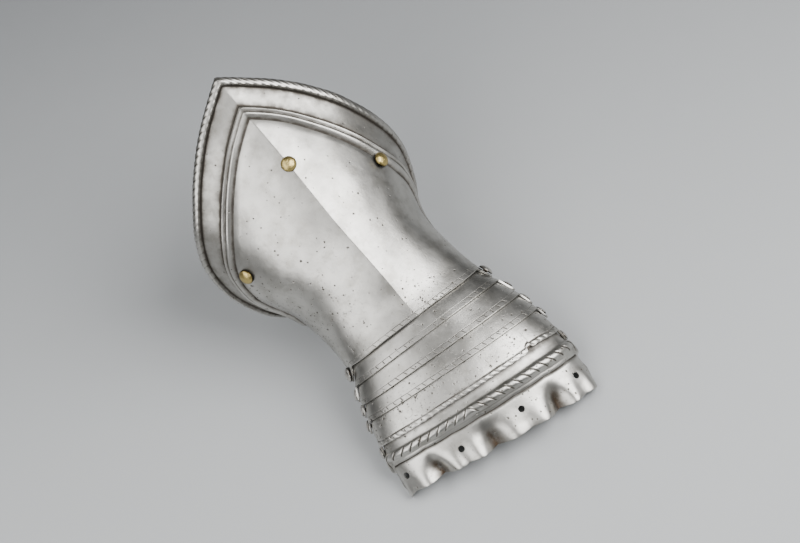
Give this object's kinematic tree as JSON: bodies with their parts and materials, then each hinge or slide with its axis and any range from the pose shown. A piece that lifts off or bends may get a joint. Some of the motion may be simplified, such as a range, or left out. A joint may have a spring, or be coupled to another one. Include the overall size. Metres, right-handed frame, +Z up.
{
  "type": "armoured gauntlet",
  "caption": "Steel gauntlet for the right hand: pointed flaring cuff, overlapping hinged lames and a knuckle plate with a ridge and a scalloped, pierced finger edge.",
  "frame": {"origin": "centre of the footprint box, on the floor the gauntlet lies on", "axes": "+Y along the arm towards the point of the cuff, fingers towards -Y, +X towards the thumb side, +Z up"},
  "size_m": [0.1288, 0.2186, 0.1362],
  "materials": {
    "plate_steel": "old polished steel, lightly pitted, dark in the engraved lines",
    "rivet_steel": "polished steel rivet heads darkened round the edges",
    "rivet_brass": "worn polished brass"
  },
  "bodies": {
    "cuff": {"cuff": "plate_steel", "rivet_wrist_thumb_side": "rivet_steel", "rivet_wrist_little_finger_side": "rivet_steel", "brass_rivet_ridge": "rivet_brass", "brass_rivet_thumb_side": "rivet_brass", "brass_rivet_little_finger_side": "rivet_brass"},
    "lame_1": {"lame_1": "plate_steel", "rivet_lame_2_thumb_side": "rivet_steel", "rivet_lame_2_little_finger_side": "rivet_steel"},
    "lame_2": {"lame_2": "plate_steel", "rivet_lame_3_thumb_side": "rivet_steel", "rivet_lame_3_little_finger_side": "rivet_steel"},
    "lame_3": {"lame_3": "plate_steel", "rivet_lame_4_thumb_side": "rivet_steel", "rivet_lame_4_little_finger_side": "rivet_steel"},
    "lame_4": {"lame_4": "plate_steel", "rivet_knuckle_plate_thumb_side": "rivet_steel", "rivet_knuckle_plate_little_finger_side": "rivet_steel"},
    "knuckle_plate": {"knuckle_plate": "plate_steel"}
  },
  "joints": [
    {"name": "cuff_to_lame_1", "type": "hinge", "parent": "cuff", "child": "lame_1", "pos_m": [0.00673, -0.02454, 0.03194], "axis": [0.9994, -0.0325, 0.015], "range_deg": [-5, 6]},
    {"name": "lame_1_to_lame_2", "type": "hinge", "parent": "lame_1", "child": "lame_2", "pos_m": [0.007, -0.03497, 0.0263], "axis": [0.9987, -0.0497, 0.0115], "range_deg": [-5, 6]},
    {"name": "lame_2_to_lame_3", "type": "hinge", "parent": "lame_2", "child": "lame_3", "pos_m": [0.00715, -0.04436, 0.02258], "axis": [0.9971, -0.076, 0.0065], "range_deg": [-5, 6]},
    {"name": "lame_3_to_lame_4", "type": "hinge", "parent": "lame_3", "child": "lame_4", "pos_m": [0.00656, -0.05335, 0.01885], "axis": [0.9952, -0.0982, 0.0023], "range_deg": [-5, 6]},
    {"name": "lame_4_to_knuckle_plate", "type": "hinge", "parent": "lame_4", "child": "knuckle_plate", "pos_m": [0.00536, -0.0688, 0.01242], "axis": [0.9939, -0.1099, -0.0001], "range_deg": [-5, 6]}
  ]
}
